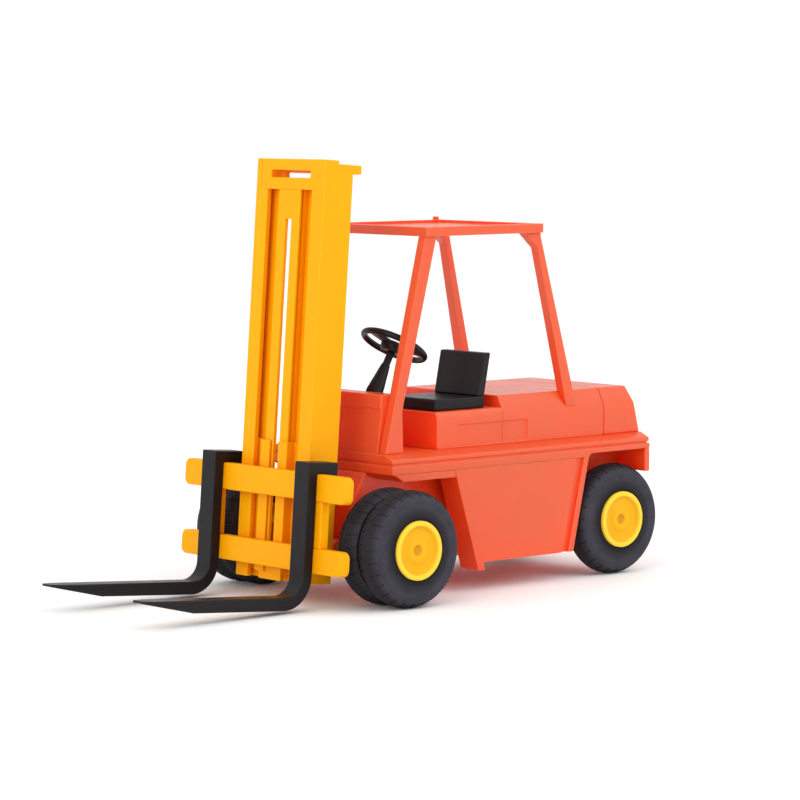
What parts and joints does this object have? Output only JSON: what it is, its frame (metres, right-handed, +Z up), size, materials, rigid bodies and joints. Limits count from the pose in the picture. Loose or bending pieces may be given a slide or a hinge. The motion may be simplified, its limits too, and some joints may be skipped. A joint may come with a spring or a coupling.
{
  "type": "toy forklift truck",
  "caption": "Orange toy forklift with yellow tilting mast, lifting fork carriage, overhead guard, dual front tyres and turning wheels.",
  "frame": {"origin": "centre of the whole object's box, on the floor the tyres stand on", "axes": "+X forwards along the forks, +Y to the driver's left, +Z up"},
  "size_m": [0.0578, 0.025, 0.0376],
  "materials": {
    "orange_plastic": "satin moulded plastic",
    "yellow_plastic": "satin moulded plastic",
    "rim_plastic": "satin moulded plastic",
    "black_plastic": "satin moulded plastic",
    "tyre": "matt, treaded",
    "steel": "plain drawn wire"
  },
  "bodies": {
    "truck": {"main_frame": "orange_plastic", "deck": "orange_plastic", "belt": "orange_plastic", "rear_wall": "orange_plastic", "fender_front_left": "orange_plastic", "fender_front_right": "orange_plastic", "skirt_left": "orange_plastic", "skirt_right": "orange_plastic", "seat_box": "orange_plastic", "hood": "orange_plastic", "counterweight": "orange_plastic", "cowl": "orange_plastic", "seat_cushion": "black_plastic", "seat_backrest": "black_plastic", "steering_column": "black_plastic", "steering_boot": "black_plastic", "guard_roof": "orange_plastic", "guard_post_front_left": "orange_plastic", "guard_post_front_right": "orange_plastic", "guard_post_rear_left": "orange_plastic", "guard_post_rear_right": "orange_plastic", "mast_bracket_left": "orange_plastic", "mast_bracket_right": "orange_plastic", "mast_pin": "steel"},
    "front_axle_set": {"front_axle": "steel", "front_rim_left": "rim_plastic", "front_rim_right": "rim_plastic", "front_tyre_outer_left": "tyre", "front_tyre_outer_right": "tyre", "front_tyre_inner_left": "tyre", "front_tyre_inner_right": "tyre"},
    "rear_axle_set": {"rear_axle": "steel", "rear_rim_left": "rim_plastic", "rear_rim_right": "rim_plastic", "rear_tyre_left": "tyre", "rear_tyre_right": "tyre"},
    "steering": {"steering_wheel": "black_plastic"},
    "mast": {"mast_rail_left": "yellow_plastic", "mast_rail_right": "yellow_plastic", "mast_centre_strip": "yellow_plastic", "mast_head": "yellow_plastic", "mast_tab": "yellow_plastic", "mast_foot": "yellow_plastic", "mast_lug_left": "yellow_plastic", "mast_lug_right": "yellow_plastic"},
    "carriage": {"carriage_bar_upper": "yellow_plastic", "carriage_bar_lower": "yellow_plastic", "carriage_plate_left": "yellow_plastic", "carriage_plate_right": "yellow_plastic", "carriage_guide_left": "yellow_plastic", "carriage_guide_right": "yellow_plastic", "fork_left": "black_plastic", "fork_right": "black_plastic"}
  },
  "joints": [
    {"name": "front_axle_spin", "type": "hinge", "parent": "truck", "child": "front_axle_set", "pos_m": [0.004, 0, 0.005], "axis": [0, 1, 0], "continuous": true},
    {"name": "rear_axle_spin", "type": "hinge", "parent": "truck", "child": "rear_axle_set", "pos_m": [-0.0239, 0, 0.005], "axis": [0, 1, 0], "continuous": true},
    {"name": "steering_wheel_spin", "type": "hinge", "parent": "truck", "child": "steering", "pos_m": [-0.00155, 0.0028, 0.02145], "axis": [-0.5, 0, 0.866], "continuous": true},
    {"name": "mast_tilt", "type": "hinge", "parent": "truck", "child": "mast", "pos_m": [0.00601, 0, 0.0045], "axis": [0, 1, 0], "range_deg": [-5.75, 4.25]},
    {"name": "fork_lift", "type": "slide", "parent": "mast", "child": "carriage", "axis": [-0.0741, 0, 0.9973], "range_m": [0, 0.02]}
  ]
}
